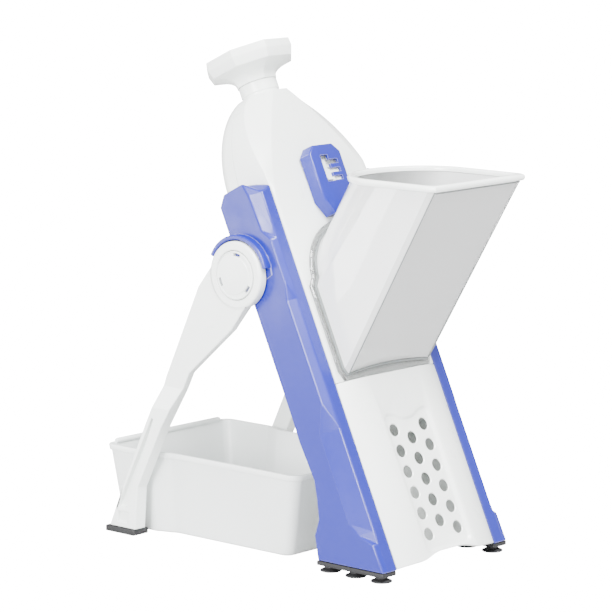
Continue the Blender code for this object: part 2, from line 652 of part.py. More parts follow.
def tray(slide):
    """Thin-walled tray with a rounded grip along its rear rim."""
    wall = 1.8
    rings = [tray_ring(3.0, TRAY_BASE_Z), tray_ring(0.8, TRAY_BASE_Z + 1.2),
             tray_ring(0, TRAY_BASE_Z + 4.0), tray_ring(0, TRAY_RIM_Z),
             tray_ring(wall, TRAY_RIM_Z), tray_ring(wall, TRAY_BASE_Z + 5.0),
             tray_ring(4.0, TRAY_BASE_Z + 2.0)]
    origin = (0, TRAY_FRONT_Y, 0)
    body = finish("catch_tray", skin(bmesh.new(), rings), "tray_plastic", slide, origin)
    grip = [(TRAY_GRIP_R, -TRAY_GRIP_HALF), (TRAY_GRIP_R, TRAY_GRIP_HALF)]
    place = (0, TRAY_REAR_Y - TRAY_GRIP_R - 0.3, TRAY_RIM_Z + 0.4)
    boolean(body, "tray_grip", turned(grip, place, "x", 12), "UNION", slide)


def cover_screws(body):
    """Screws that hold the rear cover to the front housing."""
    places = [(-37, 170), (37, 170), (-37, 262), (37, 262)]
    for number, (x, s) in enumerate(places, start=1):
        profile = [(3.4, HOUSING_REAR + 2.0), (3.4, HOUSING_REAR + GAP)]
        finish("cover_screw_%d" % number, turned(profile, (x, 0, s), "y", 16), "blade_steel", body)


def build():
    clear_scene()
    stand = empty("stand", (0, -CENTRE_Y, 0))
    body = empty("body", (0, 0, BASE_Z), stand, -LEAN)
    housing_half("housing_front", body, True)
    housing_half("housing_rear", body, False)
    front_panel(body)
    lower_liner(body)
    gate_console(body)
    selector(body)
    guide_rods(body)
    plunger(body)
    discharge_chute(stand)
    cover_screws(body)
    for side, sign in (("left", -1), ("right", 1)):
        side_frame(side, sign, stand)
        frame_foot(side, sign, stand)
        leg(side, sign, stand, stand)
        hub_cap(side, sign, stand)
    hopper(stand)
    tray(stand)


build()
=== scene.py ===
"""Upright press slicer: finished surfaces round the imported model.

Shapes are drawn in millimetres, either on the leaning body as (x, depth behind its front face,
height along it) or on the stand as (x, distance behind the front feet, height above the
table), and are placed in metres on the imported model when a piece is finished."""
import json
from math import atan2, cos, pi, radians, sin

import bmesh
import bpy
from mathutils import Matrix, Vector

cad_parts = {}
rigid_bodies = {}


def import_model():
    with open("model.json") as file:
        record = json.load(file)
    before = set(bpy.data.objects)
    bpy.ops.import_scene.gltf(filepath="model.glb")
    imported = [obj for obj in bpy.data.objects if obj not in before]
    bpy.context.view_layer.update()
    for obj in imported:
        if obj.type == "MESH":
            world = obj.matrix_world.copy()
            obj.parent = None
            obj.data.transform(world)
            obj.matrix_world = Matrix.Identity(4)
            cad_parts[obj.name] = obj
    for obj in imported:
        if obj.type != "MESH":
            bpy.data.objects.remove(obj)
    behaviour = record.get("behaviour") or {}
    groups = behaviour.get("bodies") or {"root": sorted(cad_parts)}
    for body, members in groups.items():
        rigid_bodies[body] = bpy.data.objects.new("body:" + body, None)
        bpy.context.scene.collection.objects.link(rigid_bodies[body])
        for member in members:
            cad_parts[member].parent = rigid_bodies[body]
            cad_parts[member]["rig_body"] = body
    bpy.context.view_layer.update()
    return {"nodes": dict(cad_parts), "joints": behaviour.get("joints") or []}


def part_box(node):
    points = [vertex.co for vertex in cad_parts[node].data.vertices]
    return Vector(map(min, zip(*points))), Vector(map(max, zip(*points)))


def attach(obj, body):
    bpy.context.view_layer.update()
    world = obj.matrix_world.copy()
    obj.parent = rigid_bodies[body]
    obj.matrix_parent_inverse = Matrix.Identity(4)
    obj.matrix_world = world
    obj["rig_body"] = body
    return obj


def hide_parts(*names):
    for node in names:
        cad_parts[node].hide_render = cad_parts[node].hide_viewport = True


bl_info = {
    "name": "Upright Press Slicer",
    "version": (1, 0, 0),
    "blender": (4, 5, 0),
    "location": "View3D > Sidebar > Slicer",
    "description": "Builds the finished surfaces of an upright press slicer",
    "category": "Object",
}

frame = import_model()

MM = 0.001
SIDES = (("left", -1), ("right", 1))
PRESS_AXIS = next(j["axis"] for j in frame["joints"] if j["name"] == "plunger_press")
LEAN = atan2(PRESS_AXIS[1], PRESS_AXIS[2])
FRONT_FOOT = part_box("side_frame_left")[0]
STAND_PLACE = Matrix.Translation((0, FRONT_FOOT.y, 0)) @ Matrix.Scale(MM, 4)
BODY_PLACE = (Matrix.Translation((0, FRONT_FOOT.y, FRONT_FOOT.z))
              @ Matrix.Rotation(-LEAN, 4, "X") @ Matrix.Scale(MM, 4))
HUB = (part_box("hub_cap_left")[0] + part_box("hub_cap_left")[1]) / 2
HUB_Y = (HUB.y - FRONT_FOOT.y) / MM
HUB_Z = HUB.z / MM


# --- settings -----------------------------------------------------------------------------
def colour_property(name, description, default):
    return bpy.props.FloatVectorProperty(name=name, description=description, default=default,
                                         subtype="COLOR", size=3, min=0, max=1)


def size_property(name, description, default):
    return bpy.props.FloatProperty(name=name, description=description, default=default, min=0)


class SlicerFinishes(bpy.types.PropertyGroup):
    white: colour_property("White", "Colour of the white moulded plastic", (0.80, 0.83, 0.81))
    blue: colour_property("Blue", "Colour of the side frames", (0.005, 0.009, 0.22))
    clear: colour_property("Clear", "Tint of the clear hopper", (0.91, 0.92, 0.92))
    # painted shade: the seam tint colours dark bars along the hopper's foot, corners and lip,
    # standing for the shade and refraction seen there
    seam: colour_property("Seam", "Tint of the clear hopper's edges", (0.22, 0.24, 0.24))
    tray: colour_property("Tray", "Colour of the catch tray", (0.80, 0.83, 0.82))
    rubber: colour_property("Rubber", "Colour of the feet", (0.004, 0.004, 0.005))
    steel: colour_property("Steel", "Colour of blades, rods and screws", (0.62, 0.63, 0.65))
    grain: bpy.props.FloatProperty(name="Grain", description="Depth of the mould texture",
                                   default=0.00004, min=0, unit="LENGTH")


class SlicerSizes(bpy.types.PropertyGroup):
    edge: size_property("Edge", "Rounding of moulded edges, in millimetres", 0.9)
    body_half: size_property("Half width", "Half width of the housing, in millimetres", 52.2)
    housing_low: size_property("Housing low", "Lower end of the housing, in millimetres", 134.3)
    collar_top: size_property("Shoulder", "Height of the flat shoulder, in millimetres", 351.0)
    axis_depth: size_property("Axis depth", "Depth of the plunger's axis, in millimetres", 28.5)
    knob_width: size_property("Knob width", "Knob across its flats, in millimetres", 62.0)
    hole: size_property("Hole", "Diameter of the panel's holes, in millimetres", 9.0)


class SlicerStage(bpy.types.PropertyGroup):
    sky: bpy.props.FloatProperty(name="Sky", description="Strength of the room light",
                                 default=1.5, min=0)
    backdrop: bpy.props.FloatProperty(name="Backdrop", description="Brightness behind it all",
                                      default=22.0, min=0)
    key: bpy.props.FloatProperty(name="Key", description="Power of the large soft light",
                                 default=290.0, min=0, unit="POWER")
    lens: bpy.props.FloatProperty(name="Lens", description="Focal length",
                                  default=188.44, min=1, unit="CAMERA")
    distance: bpy.props.FloatProperty(name="Distance", description="Camera to target",
                                      default=2.1662, min=0.1, unit="LENGTH")


# --- finishes -----------------------------------------------------------------------------
def shader_nodes(name):
    made = bpy.data.materials.new(name)
    made.use_nodes = True
    tree = made.node_tree
    return made, tree, tree.nodes["Principled BSDF"]


def node(tree, kind, **values):
    made = tree.nodes.new(kind)
    for key, value in values.items():
        if hasattr(made, key):
            setattr(made, key, value)
        else:
            made.inputs[key.replace("_", " ")].default_value = value
    return made


def linked(tree, output, shader, name):
    tree.links.new(output, shader.inputs[name])


def set_sockets(shader, **values):
    for key, value in values.items():
        shader.inputs[key.replace("_", " ")].default_value = value


def object_coords(tree):
    return node(tree, "ShaderNodeTexCoord").outputs["Object"]


def bumped(tree, shader, height, strength, distance):
    """Raise the surface by a texture; the distance is in metres."""
    bump = node(tree, "ShaderNodeBump", Strength=strength, Distance=distance)
    tree.links.new(height, bump.inputs["Height"])
    linked(tree, bump.outputs["Normal"], shader, "Normal")


def noise(tree, coords, scale, detail=3.0, roughness=0.5):
    made = node(tree, "ShaderNodeTexNoise", Scale=scale, Detail=detail, Roughness=roughness)
    tree.links.new(coords, made.inputs["Vector"])
    return made.outputs["Fac"]


def ranged(tree, value, low, high, start=0.3, end=0.7):
    made = node(tree, "ShaderNodeMapRange")
    for key, number in (("From Min", start), ("From Max", end), ("To Min", low), ("To Max", high)):
        made.inputs[key].default_value = number
    tree.links.new(value, made.inputs["Value"])
    return made.outputs["Result"]


def mixed(tree, factor, first, second):
    made = node(tree, "ShaderNodeMix", data_type="RGBA")
    tree.links.new(factor, made.inputs["Factor"])
    for socket, value in ((made.inputs[6], first), (made.inputs[7], second)):
        if isinstance(value, bpy.types.NodeSocket):
            tree.links.new(value, socket)
        else:
            socket.default_value = (*value, 1.0)
    return made.outputs[2]


def shaded(colour, factor):
    return tuple(min(1.0, part * factor) for part in colour)


def edge_turn(tree):
    """1 on a face, and less where the surface turns within a millimetre."""
    rounded = node(tree, "ShaderNodeBevel", samples=4)
    rounded.inputs["Radius"].default_value = 0.0008
    product = node(tree, "ShaderNodeVectorMath", operation="DOT_PRODUCT")
    tree.links.new(rounded.outputs["Normal"], product.inputs[0])
    tree.links.new(node(tree, "ShaderNodeNewGeometry").outputs["Normal"], product.inputs[1])
    return product.outputs["Value"]


def moulded_plastic(name, colour, roughness, grain, edge_wear_and_highlight=0.25, coat=0.0, glow=0.0, haze=0.0):
    """Moulded plastic: cloudy colour, fine mould grain, smudged gloss, and paler edges that are
    partly wear and partly a painted highlight on the ridges.
    """
    made, tree, shader = shader_nodes(name)
    coords = object_coords(tree)
    cloud = noise(tree, coords, scale=14.0, detail=4.0)
    smudge = noise(tree, coords, scale=55.0, detail=5.0, roughness=0.6)
    fine = noise(tree, coords, scale=1900.0, detail=2.0)
    base = mixed(tree, ranged(tree, cloud, 0.0, 1.0), shaded(colour, 0.965), shaded(colour, 1.02))
    # painted highlight, partly real wear: where the surface turns, the colour is mixed towards a
    # paler tone
    worn_and_highlit = ranged(tree, edge_turn(tree), edge_wear_and_highlight, 0.0, start=0.90, end=0.99)
    pale = tuple(part + 0.45 * (0.95 - part) for part in colour)
    linked(tree, mixed(tree, worn_and_highlit, base, pale), shader, "Base Color")
    linked(tree, ranged(tree, smudge, roughness - 0.05, roughness + 0.08), shader, "Roughness")
    bumped(tree, shader, fine, 0.35, grain)
    set_sockets(shader, IOR=1.49, Coat_Weight=coat, Coat_Roughness=0.12,
                Subsurface_Weight=glow, Subsurface_Radius=(0.004, 0.004, 0.004),
                Transmission_Weight=haze)
    return made


def clear_plastic(name, colour, clarity):
    """Polished plastic, hazy or clear, with moulding ripples, fine scuffs and painted shade: a
    darker tint where a wall faces down, leaning out over the table."""
    made, tree, shader = shader_nodes(name)
    coords = object_coords(tree)
    ripple = noise(tree, coords, scale=22.0, detail=2.0)
    scuff = noise(tree, coords, scale=420.0, detail=6.0, roughness=0.7)
    tint = mixed(tree, ranged(tree, ripple, 0.0, 1.0), shaded(colour, 0.97), colour)
    # painted shade: walls whose normal points downwards get a darker colour
    facing = node(tree, "ShaderNodeSeparateXYZ")
    tree.links.new(node(tree, "ShaderNodeNewGeometry").outputs["Normal"], facing.inputs[0])
    painted_shade_under = ranged(tree, facing.outputs["Z"], 1.0, 0.0, start=-0.45, end=-0.15)
    linked(tree, mixed(tree, painted_shade_under, tint, shaded(colour, 0.64)), shader, "Base Color")
    linked(tree, ranged(tree, scuff, 0.03, 0.12, start=0.4, end=0.75), shader, "Roughness")
    bumped(tree, shader, ripple, 0.12, 0.0004)
    set_sockets(shader, IOR=1.46, Transmission_Weight=clarity, Subsurface_Weight=0.4,
                Subsurface_Radius=(0.012, 0.012, 0.012), Coat_Weight=0.6, Coat_Roughness=0.03)
    return made


def foot_rubber(name, colour):
    """Matt rubber with a grainy skin and patches of dust."""
    made, tree, shader = shader_nodes(name)
    coords = object_coords(tree)
    grain = noise(tree, coords, scale=900.0, detail=4.0, roughness=0.6)
    dust = noise(tree, coords, scale=120.0)
    dusty = ranged(tree, dust, 0.0, 0.2, start=0.45, end=0.8)
    linked(tree, mixed(tree, dusty, colour, shaded(colour, 5.0)), shader, "Base Color")
    linked(tree, ranged(tree, grain, 0.5, 0.75), shader, "Roughness")
    bumped(tree, shader, grain, 0.4, 0.0001)
    return made


def brushed_steel(name, colour):
    """Steel with fine brushing along x."""
    made, tree, shader = shader_nodes(name)
    stretch = node(tree, "ShaderNodeMapping")
    stretch.inputs["Scale"].default_value = (60.0, 2600.0, 2600.0)
    tree.links.new(object_coords(tree), stretch.inputs["Vector"])
    lines = noise(tree, stretch.outputs["Vector"], scale=1.0)
    linked(tree, mixed(tree, ranged(tree, lines, 0.0, 1.0), shaded(colour, 0.85), colour),
           shader, "Base Color")
    linked(tree, ranged(tree, lines, 0.22, 0.38), shader, "Roughness")
    bumped(tree, shader, lines, 0.1, 0.00002)
    set_sockets(shader, Metallic=1.0)
    return made


def finish_for(slot):
    """The finish of a material slot or of one of its coatings, made when first asked for."""
    name = slot + "_finish"
    found = bpy.data.materials.get(name)
    if found:
        return found
    chosen = bpy.context.scene.slicer_finishes
    white, grain = tuple(chosen.white), chosen.grain
    if slot == "white_plastic":
        return moulded_plastic(name, white, 0.30, grain, coat=0.25, glow=0.08)
    # painted highlight: the lip's finish is a brighter copy of the white plastic
    if slot == "white_plastic_lip_painted_highlight":
        return moulded_plastic(name, shaded(white, 1.12), 0.2, grain, coat=0.5, glow=0.3)
    # painted highlight, partly real wear: the blue frames' edges are paled more strongly to stand
    # for the bright lines on their ridges
    if slot == "blue_plastic":
        return moulded_plastic(name, tuple(chosen.blue), 0.33, grain, edge_wear_and_highlight=0.4, coat=0.1)
    if slot == "tray_plastic":
        return moulded_plastic(name, tuple(chosen.tray), 0.38, grain, glow=0.2, haze=0.06)
    if slot == "clear_plastic":
        return clear_plastic(name, tuple(chosen.clear), clarity=0.25)
    if slot == "clear_plastic_thin":
        return clear_plastic(name, tuple(chosen.clear), clarity=0.95)
    # painted shade: a dark clear tint for the bars laid along the hopper's edges
    if slot == "clear_plastic_painted_shade":
        return clear_plastic(name, tuple(chosen.seam), clarity=0.2)
    if slot == "black_rubber":
        return foot_rubber(name, tuple(chosen.rubber))
    if slot == "blade_steel":
        return brushed_steel(name, tuple(chosen.steel))
    raise ValueError("no finish for " + slot)


# --- shape helpers ------------------------------------------------------------------------
def arc(centre, radius, start, end, steps):
    """Points on an arc; the angles are in degrees."""
    angles = [radians(start + (end - start) * i / steps) for i in range(steps + 1)]
    return [(centre[0] + radius * cos(a), centre[1] + radius * sin(a)) for a in angles]


def bezier(p0, p1, p2, p3, steps):
    points = []
    for i in range(steps + 1):
        t, u = i / steps, 1 - i / steps
        weights = (u ** 3, 3 * u * u * t, 3 * u * t * t, t ** 3)
        points.append(tuple(sum(w * p[k] for w, p in zip(weights, (p0, p1, p2, p3)))
                            for k in (0, 1)))
    return points


def mirrored(right_side):
    """Complete a symmetric outline from its right half, listed from low to high."""
    return right_side + [(-x, s) for x, s in reversed(right_side)]


def inset(outline, distance):
    """Offset a counter-clockwise outline inwards."""
    count = len(outline)
    points = []
    for i in range(count):
        here = Vector(outline[i])
        before = (here - Vector(outline[i - 1])).normalized()
        after = (Vector(outline[(i + 1) % count]) - here).normalized()
        normal = Vector((-before.y, before.x))
        mean = (normal + Vector((-after.y, after.x))).normalized()
        points.append(tuple(here + mean * distance / max(mean.dot(normal), 0.3)))
    return points


def loop(bm, points):
    """Closed loop of edges through the points."""
    verts = [bm.verts.new(point) for point in points]
    return [bm.edges.new((verts[i - 1], verts[i])) for i in range(len(verts))]


def loft(sections, closed=False):
    """Bridge one loop of points to the next; close the ends, or join the last to the first."""
    bm = bmesh.new()
    loops = [loop(bm, points) for points in sections]
    for first, second in zip(loops, loops[1:]):
        bmesh.ops.bridge_loops(bm, edges=first + second)
    if closed:
        bmesh.ops.bridge_loops(bm, edges=loops[-1] + loops[0])
    else:
        bmesh.ops.edgeloop_fill(bm, edges=loops[0])
        bmesh.ops.edgeloop_fill(bm, edges=loops[-1])
    bmesh.ops.recalc_face_normals(bm, faces=bm.faces)
    return bm


def slab(outline, low, high):
    """Extrude an (x, z) outline between two depths."""
    return loft([[(x, depth, s) for x, s in outline] for depth in (low, high)])


def side_slab(outline, low, high):
    """Extrude a (y, z) outline between two sideways places."""
    return loft([[(x, y, z) for y, z in outline] for x in (low, high)])


def block(low, high):
    return slab([(low[0], low[2]), (high[0], low[2]), (high[0], high[2]), (low[0], high[2])],
                low[1], high[1])


def lathe(profile, axis_point, along, steps=72):
    """Spin (radius, height) points a full turn about a line along x, y or z."""
    direction = {"x": Vector((1, 0, 0)), "y": Vector((0, 1, 0)), "z": Vector((0, 0, 1))}[along]
    outward = Vector((0, 0, 1)) if along != "z" else Vector((1, 0, 0))
    base = Vector(axis_point)
    bm = bmesh.new()
    verts = [bm.verts.new(base + direction * height + outward * radius)
             for radius, height in profile]
    edges = [bm.edges.new(pair) for pair in zip(verts, verts[1:])]
    bmesh.ops.spin(bm, geom=verts + edges, cent=base, axis=direction, angle=2 * pi,
                   steps=steps, use_merge=True)
    bmesh.ops.remove_doubles(bm, verts=bm.verts, dist=0.001)
    bmesh.ops.holes_fill(bm, edges=[e for e in bm.edges if e.is_boundary])
    bmesh.ops.recalc_face_normals(bm, faces=bm.faces)
    return bm


def round_edges(bm, edges, width, segments=3, clamp=True):
    bmesh.ops.bevel(bm, geom=edges, offset=width, affect="EDGES", segments=segments,
                    profile=0.5, material=-1, clamp_overlap=clamp)


def ease(bm, width, angle, chosen=None):
    """Round the edges that turn by more than an angle."""
    edges = [e for e in bm.edges if e.is_manifold and e.calc_face_angle(0) > radians(angle)
             and (chosen is None or chosen(e))]
    round_edges(bm, edges, width)
    return bm


def cut(target, tool):
    """Cut a tool from a shape; both are used up."""
    made = []
    for bm in (target, tool):
        mesh = bpy.data.meshes.new("blank")
        bm.to_mesh(mesh)
        bm.free()
        made.append(bpy.data.objects.new("blank", mesh))
        bpy.context.scene.collection.objects.link(made[-1])
    change = made[0].modifiers.new("cut", "BOOLEAN")
    change.operation = "DIFFERENCE"
    change.object = made[1]
    change.solver = "EXACT"
    result = bmesh.new()
    result.from_object(made[0], bpy.context.evaluated_depsgraph_get())
    for obj in made:
        mesh = obj.data
        bpy.data.objects.remove(obj)
        bpy.data.meshes.remove(mesh)
    return result


def joined(shapes):
    """Put several shapes in one bmesh."""
    whole = bmesh.new()
    for bm in shapes:
        mesh = bpy.data.meshes.new("blank")
        bm.to_mesh(mesh)
        bm.free()
        whole.from_mesh(mesh)
        bpy.data.meshes.remove(mesh)
    return whole


def mark_sharp(bm, angle, flat_area):
    """Mark the sharp edges: those that turn a lot, and every turn beside a large flat face."""
    for edge in bm.edges:
        turn = edge.calc_face_angle(0)
        widest = max((face.calc_area() for face in edge.link_faces), default=0)
        edge.smooth = turn < radians(angle) and (turn < radians(2.5) or widest < flat_area)


def finish(name, bm, place, slot, nodes, smooth=32.0, coating=None, flat_area=1e9):
    """Turn a shape into a piece that stands for CAD nodes and moves with their body.  Edges
    that turn by less than smooth, in degrees, are shaded smooth; coating is another finish
    than the slot's own."""
    bmesh.ops.remove_doubles(bm, verts=bm.verts, dist=0.002)
    bmesh.ops.recalc_face_normals(bm, faces=bm.faces)
    mark_sharp(bm, smooth, flat_area)
    bmesh.ops.transform(bm, matrix=place, verts=bm.verts)
    mesh = bpy.data.meshes.new(name)
    bm.to_mesh(mesh)
    bm.free()
    mesh.shade_smooth()
    piece = bpy.data.objects.new(name, mesh)
    bpy.context.scene.collection.objects.link(piece)
    mesh.materials.append(finish_for(coating or slot))
    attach(piece, frame["nodes"][nodes[0]]["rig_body"])
    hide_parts(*nodes)


def eased_copy(name, source, slot, width):
    """A CAD node's own shape with its long edges rounded."""
    bm = bmesh.new()
    bm.from_mesh(frame["nodes"][source].data)
    bmesh.ops.scale(bm, verts=bm.verts, vec=(1 / MM, 1 / MM, 1 / MM))
    bmesh.ops.remove_doubles(bm, verts=bm.verts, dist=0.02)
    bmesh.ops.dissolve_limit(bm, angle_limit=radians(1.0), verts=bm.verts, edges=bm.edges)
    bmesh.ops.dissolve_degenerate(bm, dist=0.05, edges=bm.edges)
    edges = [e for e in bm.edges if e.is_manifold and e.calc_length() > EASE_SHORTEST
             and e.calc_face_angle(0) > radians(EASE_ANGLE)]
    round_edges(bm, edges, width, clamp=False)
    finish(name, bm, Matrix.Scale(MM, 4), slot, [source], flat_area=FLAT_AREA)


def dress(nodes, slot):
    """Give CAD nodes that stay a proper finish."""
    for name in nodes:
        mesh = frame["nodes"][name].data
        mesh.materials.clear()
        mesh.materials.append(finish_for(slot))


# --- housing ------------------------------------------------------------------------------
HOUSING_FRONT, HOUSING_REAR, HOUSING_WALL = -1.0, 46.8, 2.6
DOME_START, DOME_REACH = 285.0, 70.7    # where the sides curve in, and would close
FACE_START, FACE_END = 262.0, 351.0     # where the front face narrows and falls back
FACE_FALL, FACE_TAPER = 10.8, 0.0448
CAVITY_STEPS = [262 + 3 * i for i in range(24)]
SHOULDER_STEPS = [334, 337, 340, 343, 346, 348.5]
BORE_R, SEAM_GAP = 14.4, 0.15
WINDOW_HALF, WINDOW_LOW, WINDOW_TOP = 36, 144, 206
REAR_COVER_LOW = 152
FAR, ABOVE = 80, 380                    # past the body on every side, and above it


def housing_section(sizes, s, shrink=0.0):
    """Flat front, bevelled edges and round rear corners, narrowing into the dome."""
    dome_rise, face_rise = max(0.0, s - DOME_START), max(0.0, s - FACE_START)
    half = sizes.body_half * (1 - (dome_rise / DOME_REACH) ** 2) ** 0.5
    bevel = 1.5 + shrink / 2
    face_half = min(sizes.body_half - FACE_TAPER * face_rise ** 1.54, half - bevel)
    face_depth = HOUSING_FRONT + FACE_FALL * (face_rise / (FACE_END - FACE_START)) ** 2
    edge_depth = max(0.34 * dome_rise, face_depth + bevel)
    corner = 10 + 8.6 * (dome_rise / 66) ** 2
    right = [(face_half, face_depth), (half, edge_depth)]
    right += arc((half - corner, HOUSING_REAR - corner), corner, 0, 90, 12)
    outline = inset(mirrored(right), shrink) if shrink else mirrored(right)
    return [(x, y, s) for x, y in outline]


def housing_shell(sizes):
    """Both halves of the housing in one, hollow and bored for the stem."""
    levels = [sizes.housing_low, 180, 225] + CAVITY_STEPS + SHOULDER_STEPS + [sizes.collar_top]
    shell = ease(loft([housing_section(sizes, s) for s in levels]), 0.8, 12)
    cavity = loft([housing_section(sizes, s, HOUSING_WALL)
                   for s in [sizes.housing_low - 20] + CAVITY_STEPS])
    shell = cut(shell, cavity)
    bore = lathe([(BORE_R, 280), (BORE_R, 349.6), (BORE_R + 1, 360)],
                 (0, sizes.axis_depth, 0), "z")
    return cut(shell, bore)


class SLICER_OT_housing(bpy.types.Operator):
    """Arched housing: front half with the feed window, and rear cover"""
    bl_idname = "slicer.housing"
    bl_label = "Housing"

    def execute(self, context):
        sizes = context.scene.slicer_sizes
        seam = sizes.axis_depth
        behind = block((-FAR, seam - SEAM_GAP, 100), (FAR, FAR, ABOVE))
        before = block((-FAR, -FAR, 100), (FAR, seam + SEAM_GAP, ABOVE))
        window = ease(block((-WINDOW_HALF, -20, WINDOW_LOW), (WINDOW_HALF, 3, WINDOW_TOP)),
                      3.0, 60, chosen=lambda e: abs(e.verts[0].co.y - e.verts[1].co.y) > 5)
        front = cut(cut(housing_shell(sizes), behind), window)
        finish("front_housing", front, BODY_PLACE, "white_plastic", ["housing_front"])
        rear = cut(housing_shell(sizes), before)
        rear = cut(rear, block((-FAR, -FAR, 100), (FAR, FAR, REAR_COVER_LOW)))
        finish("rear_cover", rear, BODY_PLACE, "white_plastic", ["housing_rear"])
        return {"FINISHED"}


# --- plunger ------------------------------------------------------------------------------
KNOB_CORNER = 18.0
KNOB_LEVELS = ((0.46, 361.8), (0.465, 364.0), (0.49, 366.2), (0.56, 368.2), (0.67, 370.0),
               (0.80, 371.4), (0.93, 372.4), (1.0, 378.8), (0.985, 384.6), (0.50, 387.4))
STEM_PROFILE = ((7.5, 150), (7.5, 282), (14, 284), (14, 351.5), (13.5, 352), (13.5, 353.6),
                (14, 354.2), (14, 361.2), (13.7, 361.5), (5, 361.5))


class SLICER_OT_plunger(bpy.types.Operator):
    """Palm knob and stem"""
    bl_idname = "slicer.plunger"
    bl_label = "Plunger"

    def execute(self, context):
        sizes = context.scene.slicer_sizes
        depth = sizes.axis_depth

        def octagon(scale, s):
            half, corner = sizes.knob_width / 2 * scale, KNOB_CORNER * scale
            flat = half - corner
            quarter = [(half, -flat), (half, flat)]
            points = []
            for _ in range(4):
                points += quarter
                quarter = [(-y, x) for x, y in quarter]
            return [(x, depth + y, s) for x, y in points]

        knob = ease(loft([octagon(scale, s) for scale, s in KNOB_LEVELS]), 0.45, 14)
        finish("palm_knob", knob, BODY_PLACE, "white_plastic", ["plunger_knob"], 22)
        stem = lathe(STEM_PROFILE, (0, depth, 0), "z")
        finish("press_stem", stem, BODY_PLACE, "white_plastic", ["plunger_stem"])
        return {"FINISHED"}


# --- front panel --------------------------------------------------------------------------
PANEL_LOW, PANEL_FACE, PANEL_BACK, PANEL_FLAT = 0.8, -6.8, -4, 36
PANEL_CROWN = PANEL_LOW + 4.2           # top of the arch between the panel's feet
FIELD_HALF, FIELD_LOW, FIELD_TOP, FIELD_DIP, FIELD_CORNER = 23.5, 6.4, 105.0, 4.8, 5.0
FIELD_FLOOR = -4.9
HOLE_PITCH = 15.1
HOLE_COLUMNS = ((-15.5, 18.0, 6), (0.0, 25.5, 5), (15.5, 18.0, 6))      # x, lowest, count
LINER_FRONT, LINER_BACK, LINER_LOW, LINER_WALL = 3.3, 38.0, 12.0, 2.2


def field_outline():
    """Round-cornered field whose top edge dips in the middle."""
    side, corner, dip = FIELD_HALF, FIELD_CORNER, FIELD_TOP - FIELD_DIP
    right = arc((side - corner, FIELD_LOW + corner), corner, -90, 0, 10)
    right += arc((side - corner, FIELD_TOP - corner), corner, 0, 90, 10)
    right += bezier((side - corner, FIELD_TOP), (11, FIELD_TOP), (9, dip), (1, dip), 14)[1:]
    return mirrored(right)


class SLICER_OT_panel(bpy.types.Operator):
    """Bulged lower panel with its recessed field of round holes, and the channel behind it"""
    bl_idname = "slicer.panel"
    bl_label = "Front Panel"

    def execute(self, context):
        sizes = context.scene.slicer_sizes
        half, flat, face = sizes.body_half, PANEL_FLAT, PANEL_FACE
        section = [(-half, 0), (-flat, face), (flat, face), (half, 0),
                   (half, 3), (flat, PANEL_BACK), (-flat, PANEL_BACK), (-half, 3)]
        panel = loft([[(x, y, s) for x, y in section]
                      for s in (PANEL_LOW, sizes.housing_low - 0.3)])
        folds = [e for e in panel.edges if abs(e.verts[0].co.z - e.verts[1].co.z) > 5
                 and abs(abs(e.verts[0].co.x) - flat) < 1]
        bmesh.ops.bevel(panel, geom=folds, offset=9.0, affect="EDGES", segments=8,
                        profile=0.5, material=-1)
        ease(panel, 0.7, 40)
        foot = mirrored([(33, PANEL_LOW - 3)]
                        + bezier((33, PANEL_LOW), (24, PANEL_LOW), (21, PANEL_CROWN),
                                 (6, PANEL_CROWN), 16))
        panel = cut(panel, slab(foot, -20, 20))
        slope = ((-12, -1.3), (face - 0.05, -1.2), (face + 0.2, -0.7), (face + 0.8, 0.2),
                 (FIELD_FLOOR - 0.2, 1.1), (FIELD_FLOOR, 1.6))
        panel = cut(panel, loft([[(x, y, s) for x, s in inset(field_outline(), shrink)]
                                 for y, shrink in slope]))
        radius, rim = sizes.hole / 2, sizes.hole / 2 + 0.6
        for column, first, count in HOLE_COLUMNS:
            for row in range(count):
                hole = lathe([(radius, 5), (radius, FIELD_FLOOR + 0.5), (rim, FIELD_FLOOR),
                              (rim, -12)], (column, 0, first + HOLE_PITCH * row), "y", 40)
                panel = cut(panel, hole)
        finish("hole_panel", panel, BODY_PLACE, "white_plastic", ["front_panel"])
        liner = side_slab([(LINER_FRONT, LINER_LOW), (LINER_BACK, LINER_LOW), (LINER_BACK, 94.7),
                           (6.2, 107.1), (LINER_FRONT, 107.1)], -half, half)
        room = block((LINER_WALL - half, 0, 0), (half - LINER_WALL, LINER_BACK - LINER_WALL, 130))
        finish("panel_liner", cut(liner, room), BODY_PLACE, "white_plastic", ["lower_liner"])
        return {"FINISHED"}


# --- thickness selector -------------------------------------------------------------------
CONSOLE_FACE, CONSOLE_BACK, CONSOLE_WALL, CONSOLE_PLATE = -11.6, -1.3, 2.4, 1.8
GATE_LEFT, GATE_SPINE, GATE_RIGHT = -6.2, 1.3, 10.0
GATE_LOW, GATE_TOP = 273.6, 293.0
GATE_TEETH, TOOTH_HALF = (275.5, 281.5, 287.8), 1.5


class SLICER_OT_selector(bpy.types.Operator):
    """Raised console with its E-shaped gate"""
    bl_idname = "slicer.selector"
    bl_label = "Selector Console"

    def execute(self, context):
        outline = mirrored([(9, 250.5), (16, 262), (16, 295), (10, 301)])
        console = ease(slab(outline, CONSOLE_FACE, CONSOLE_BACK), 1.3, 25,
                       chosen=lambda e: max(v.co.y for v in e.verts) < CONSOLE_BACK - 1)
        console = cut(console, slab(inset(outline, CONSOLE_WALL), CONSOLE_FACE + CONSOLE_PLATE, 0))
        gate = [(GATE_LEFT, GATE_LOW), (GATE_SPINE, GATE_LOW)]
        for tooth in GATE_TEETH:
            low, high = tooth - TOOTH_HALF, tooth + TOOTH_HALF
            gate += [(GATE_SPINE, low), (GATE_RIGHT, low), (GATE_RIGHT, high), (GATE_SPINE, high)]
        gate += [(GATE_SPINE, GATE_TOP), (GATE_LEFT, GATE_TOP)]
        console = cut(console, slab(gate, -20, -5))
        finish("selector_console", console, BODY_PLACE, "blue_plastic", ["gate_console"])
        dress(["gate_insert", "selector_slide", "selector_tab"], "white_plastic")
        return {"FINISHED"}


